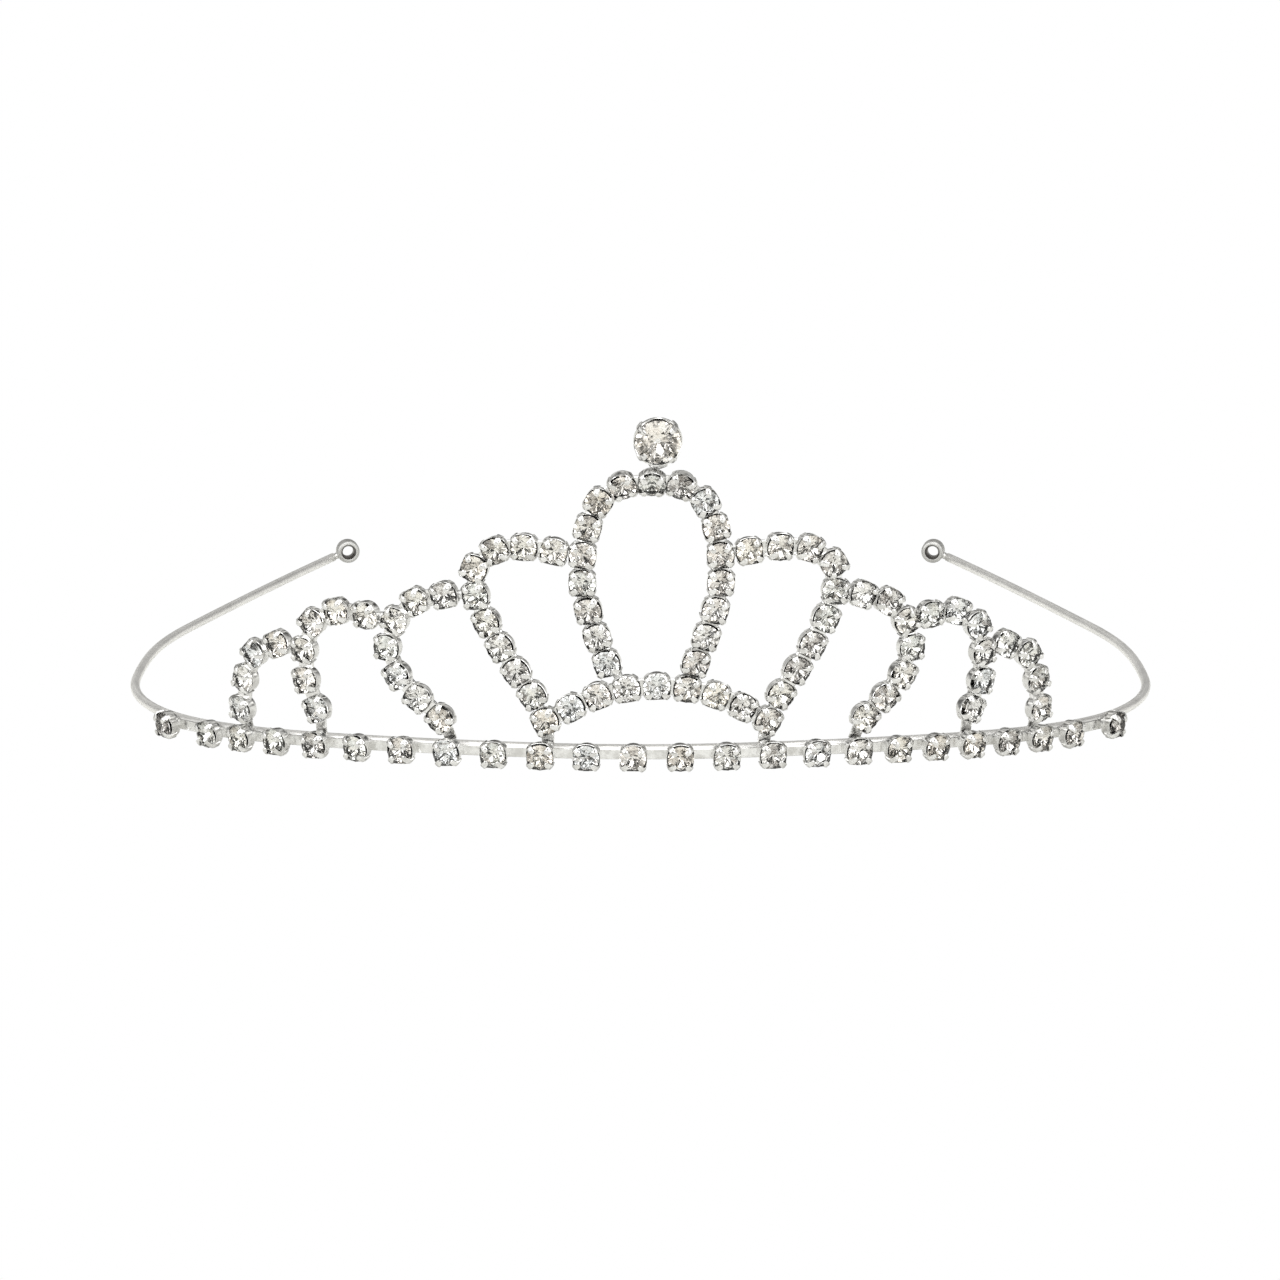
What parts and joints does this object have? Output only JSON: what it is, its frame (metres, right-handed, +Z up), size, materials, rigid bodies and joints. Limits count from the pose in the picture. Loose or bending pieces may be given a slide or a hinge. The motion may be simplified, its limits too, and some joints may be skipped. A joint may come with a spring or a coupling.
{
  "type": "bridal tiara",
  "caption": "Open silver band with a pointed crown of crystal cup chain soldered along its front, a larger stone at the peak and a hairpin eye on each end.",
  "frame": {"origin": "centre of the bounding box on the plane that the end cups stand on; the eyes' undersides are 0.6 mm above it", "axes": "+Z up, +X to the wearer's left as seen from the front (the viewer's right), the crown faces -Y and the band's arms run to +Y"},
  "size_m": [0.1436, 0.15, 0.0516],
  "materials": {
    "plated_silver": "bright silver-plated pressed cups and links",
    "band_silver": "satin silver-plated spring wire",
    "crystal": "clear cut glass with a foiled back"
  },
  "bodies": {
    "crown": {"base_chain": "plated_silver", "base_stone_01": "crystal", "base_stone_02": "crystal", "base_stone_03": "crystal", "base_stone_04": "crystal", "base_stone_05": "crystal", "base_stone_06": "crystal", "base_stone_07": "crystal", "base_stone_08": "crystal", "base_stone_09": "crystal", "base_stone_10": "crystal", "base_stone_11": "crystal", "base_stone_12": "crystal", "base_stone_13": "crystal", "base_stone_14": "crystal", "base_stone_15": "crystal", "base_stone_16": "crystal", "base_stone_17": "crystal", "base_stone_18": "crystal", "base_stone_19": "crystal", "base_stone_20": "crystal", "base_stone_21": "crystal", "base_stone_22": "crystal", "base_stone_23": "crystal", "base_stone_24": "crystal", "cross_arch_chain": "plated_silver", "front_wire": "band_silver", "inner_arch_chain_left": "plated_silver", "inner_arch_chain_right": "plated_silver", "outer_arch_chain_left": "plated_silver", "outer_arch_chain_right": "plated_silver", "oval_chain": "plated_silver", "oval_stone_01": "crystal", "oval_stone_02": "crystal", "oval_stone_03": "crystal", "oval_stone_04": "crystal", "oval_stone_05": "crystal", "oval_stone_06": "crystal", "oval_stone_07": "crystal", "oval_stone_08": "crystal", "oval_stone_09": "crystal", "oval_stone_10": "crystal", "oval_stone_11": "crystal", "oval_stone_12": "crystal", "oval_stone_13": "crystal", "oval_stone_14": "crystal", "oval_stone_15": "crystal", "oval_stone_16": "crystal", "oval_stone_17": "crystal", "peak_setting": "plated_silver", "peak_stone": "crystal", "second_arch_chain_left": "plated_silver", "second_arch_chain_right": "plated_silver", "third_arch_chain_left": "plated_silver", "third_arch_chain_right": "plated_silver"},
    "left_arm": {"left_arm_wire": "band_silver", "hairpin_eye_left": "band_silver"},
    "right_arm": {"right_arm_wire": "band_silver", "hairpin_eye_right": "band_silver"}
  },
  "joints": [
    {"name": "left_arm_flex", "type": "hinge", "parent": "crown", "child": "left_arm", "pos_m": [-0.06501, -0.03336, 0.00242], "axis": [0, 0, 1], "range_deg": [-3, 9], "stiffness_Nm_per_rad": 0.4},
    {"name": "right_arm_flex", "type": "hinge", "parent": "crown", "child": "right_arm", "pos_m": [0.06501, -0.03336, 0.00242], "axis": [0, 0, -1], "range_deg": [-3, 9], "stiffness_Nm_per_rad": 0.4}
  ]
}
